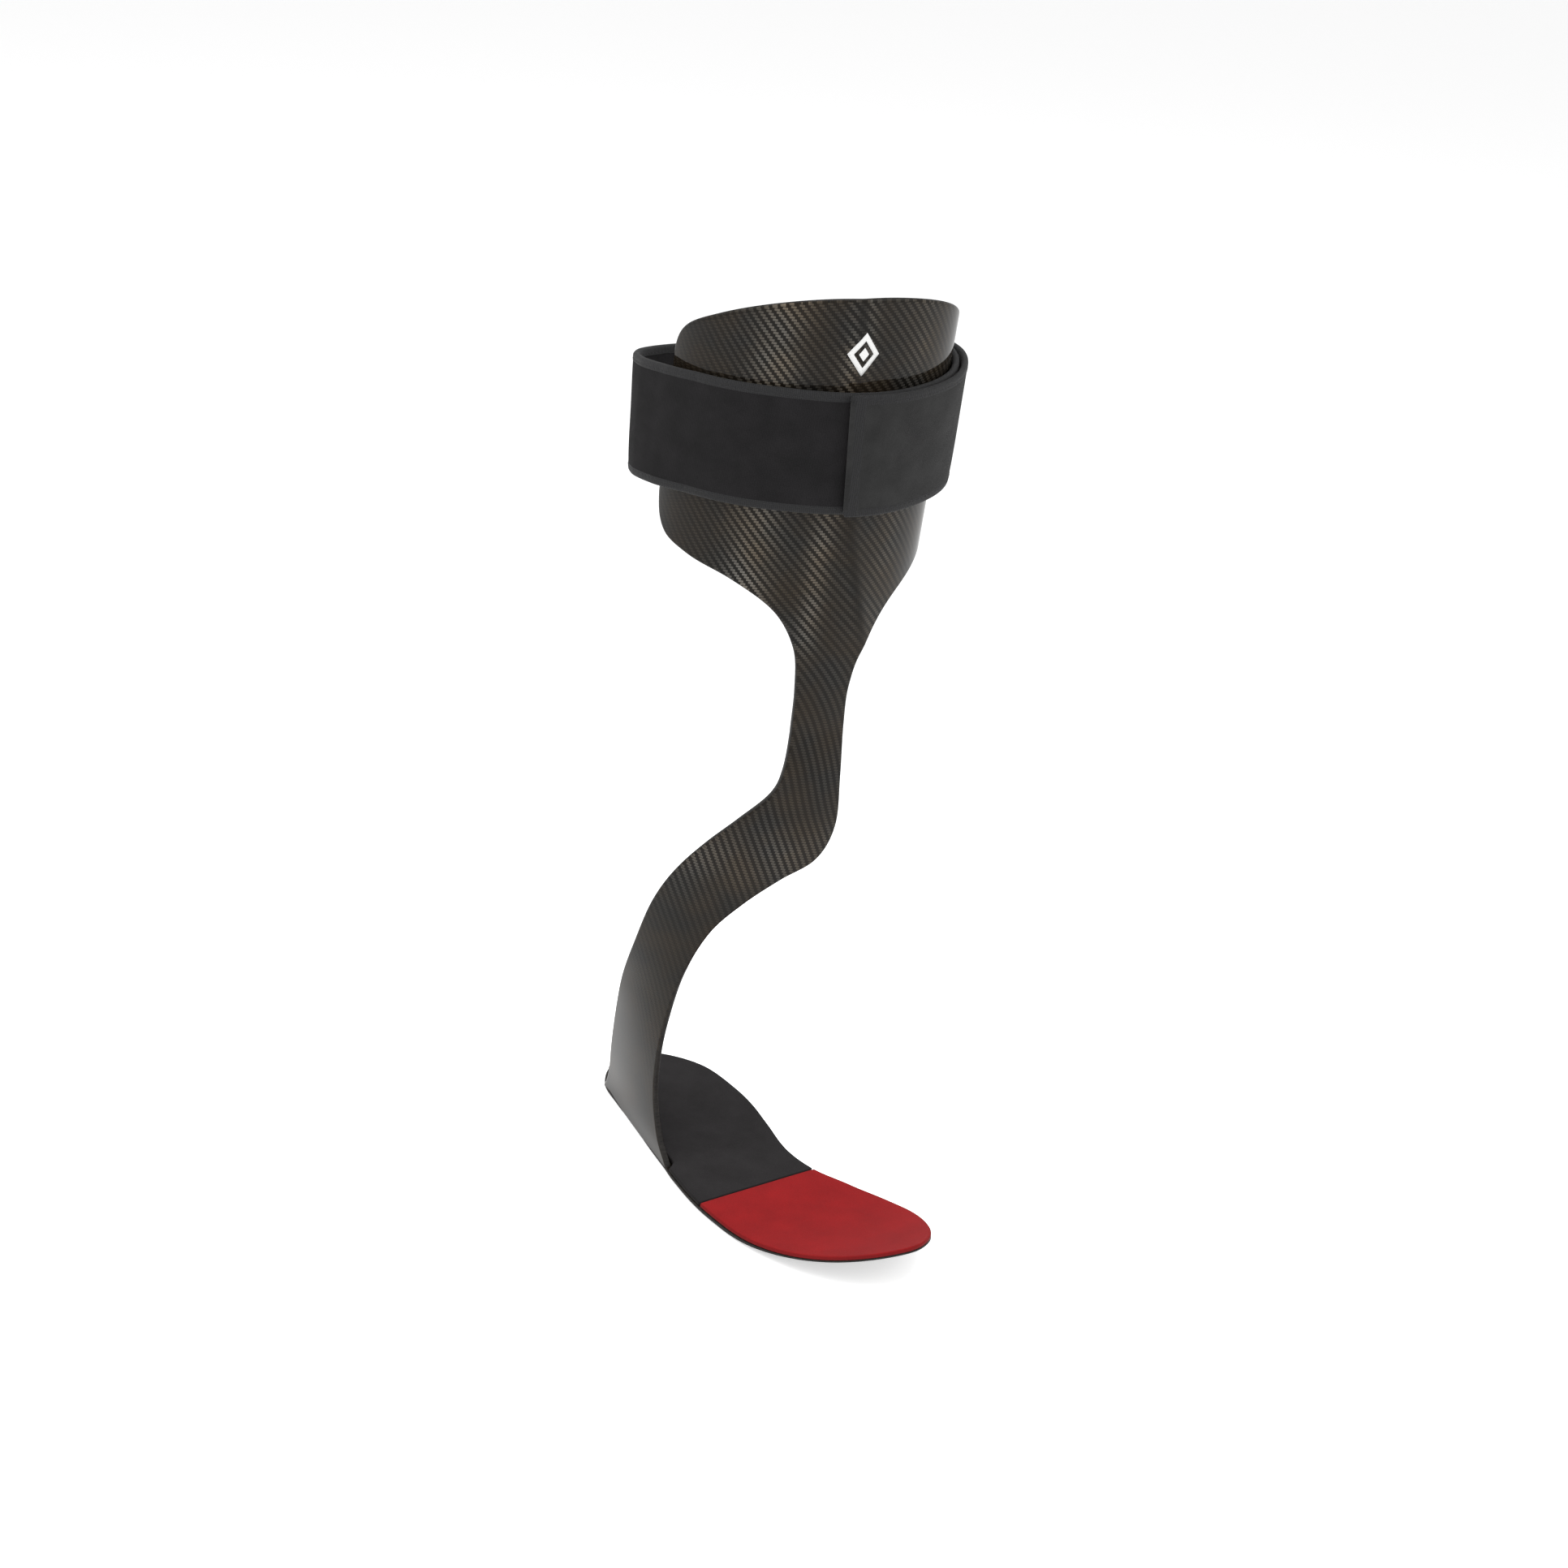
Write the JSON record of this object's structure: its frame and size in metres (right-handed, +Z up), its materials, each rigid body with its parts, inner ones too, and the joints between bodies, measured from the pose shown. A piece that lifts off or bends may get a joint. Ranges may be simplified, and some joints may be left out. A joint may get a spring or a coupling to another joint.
{
  "type": "ankle foot orthosis",
  "caption": "Carbon ankle foot orthosis for a right foot: anterior shin shell, blade strut round the outer ankle, flexible footplate and a hook-and-loop calf strap.",
  "frame": {"origin": "on the underside of the sole, below the ankle", "axes": "+X towards the toes, +Y towards the medial side of the right foot, +Z up along the leg"},
  "size_m": [0.2432, 0.1426, 0.44],
  "materials": {
    "carbon": "glossy clear-coated carbon twill laminate",
    "black_cover": "matte black cover fabric on thin foam",
    "red_cover": "matte red cover fabric on thin foam",
    "strap_cloth": "black woven strap with a brushed loop face",
    "binding_tape": "woven edge tape",
    "hook_tape": "moulded hook tape",
    "liner_foam": "brushed fabric over soft foam",
    "emblem_ink": "white print"
  },
  "bodies": {
    "foot": {"rear_footplate": "carbon", "rear_foot_cover": "black_cover", "lateral_wall": "carbon", "lower_strut": "carbon"},
    "shin": {"upper_strut": "carbon", "shin_shell": "carbon", "shin_liner": "liner_foam", "liner_dot_1": "hook_tape", "liner_dot_2": "hook_tape", "liner_dot_3": "hook_tape", "liner_dot_4": "hook_tape", "shell_hook_lateral": "hook_tape", "shell_hook_medial": "hook_tape", "strap_front": "strap_cloth", "strap_front_tape_low": "binding_tape", "strap_front_tape_high": "binding_tape", "emblem": "emblem_ink"},
    "rear_band": {"strap_rear": "strap_cloth", "strap_rear_tape_low": "binding_tape", "strap_rear_tape_high": "binding_tape"},
    "tongue": {"strap_tongue": "strap_cloth", "strap_tongue_tape_low": "binding_tape", "strap_tongue_tape_high": "binding_tape", "tongue_hook": "hook_tape"},
    "forefoot": {"forefoot_plate": "carbon", "forefoot_cover": "red_cover"}
  },
  "joints": [
    {"name": "ankle_flex", "type": "hinge", "parent": "foot", "child": "shin", "pos_m": [0.0779, 0.003, 0.2252], "axis": [0.132, 0.9883, -0.076], "range_deg": [-4, 8], "stiffness_Nm_per_rad": 57},
    {"name": "forefoot_flex", "type": "hinge", "parent": "foot", "child": "forefoot", "pos_m": [0.084, 0, 0.0042], "axis": [0, -1, 0], "range_deg": [0, 25], "stiffness_Nm_per_rad": 8},
    {"name": "strap_swing", "type": "hinge", "parent": "shin", "child": "rear_band", "pos_m": [0.0234, -0.0568, 0.371], "axis": [0.0995, 0, 0.995], "range_deg": [0, 45]},
    {"name": "tongue_peel", "type": "hinge", "parent": "rear_band", "child": "tongue", "pos_m": [0.0322, 0.082, 0.375], "axis": [0.0995, 0, 0.995], "range_deg": [0, 100]}
  ],
  "couplings": [
    {"joint": "tongue_peel", "follows": "strap_swing", "ratio": 2.2}
  ]
}
